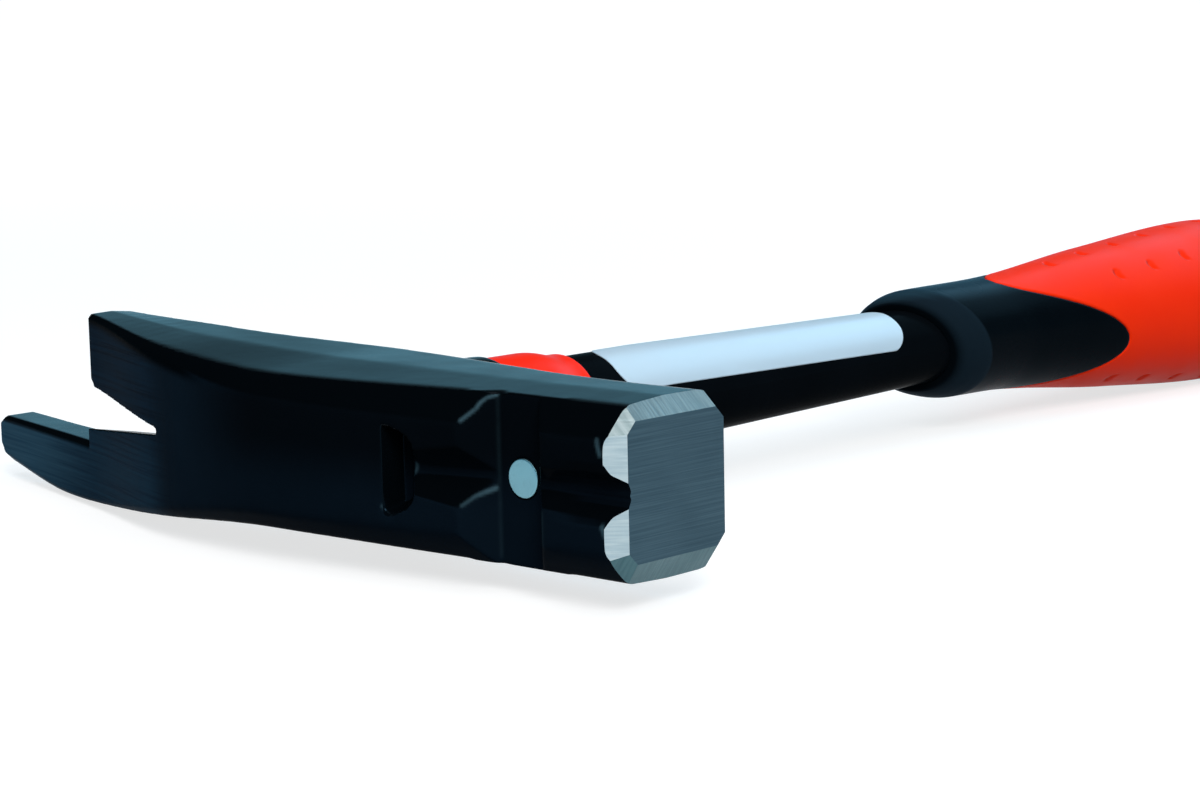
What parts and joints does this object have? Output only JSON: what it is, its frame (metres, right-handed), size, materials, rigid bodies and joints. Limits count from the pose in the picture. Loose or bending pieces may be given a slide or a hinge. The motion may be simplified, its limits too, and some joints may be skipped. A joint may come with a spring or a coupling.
{
  "type": "lath hammer",
  "caption": "Roofer's lath hammer: square striking face, nail groove with magnet, split claw with a long side spike, tapered steel tube handle and two-part soft grip.",
  "frame": {"origin": "middle of the flat striking face", "axes": "+X out of the striking face, +Y along the handle towards the butt of the grip, +Z across the cheeks"},
  "size_m": [0.184, 0.3298, 0.0364],
  "materials": {
    "head_lacquer": "black lacquer over forged steel, striking face ground bare",
    "magnet_steel": "satin plated",
    "collar_plastic": "satin gloss",
    "tube_lacquer": "gloss black powder coat",
    "plug_plastic": "matte",
    "label_film": "coated film",
    "carrier_plastic": "satin black",
    "shell_rubber": "soft matte"
  },
  "bodies": {
    "root": {"head": "head_lacquer", "nail_magnet": "magnet_steel", "socket_collar": "collar_plastic", "handle_tube": "tube_lacquer", "head_plug": "plug_plastic", "tube_end_plug": "plug_plastic", "tube_label": "label_film", "grip_carrier": "carrier_plastic", "grip_shell": "shell_rubber"}
  },
  "joints": []
}
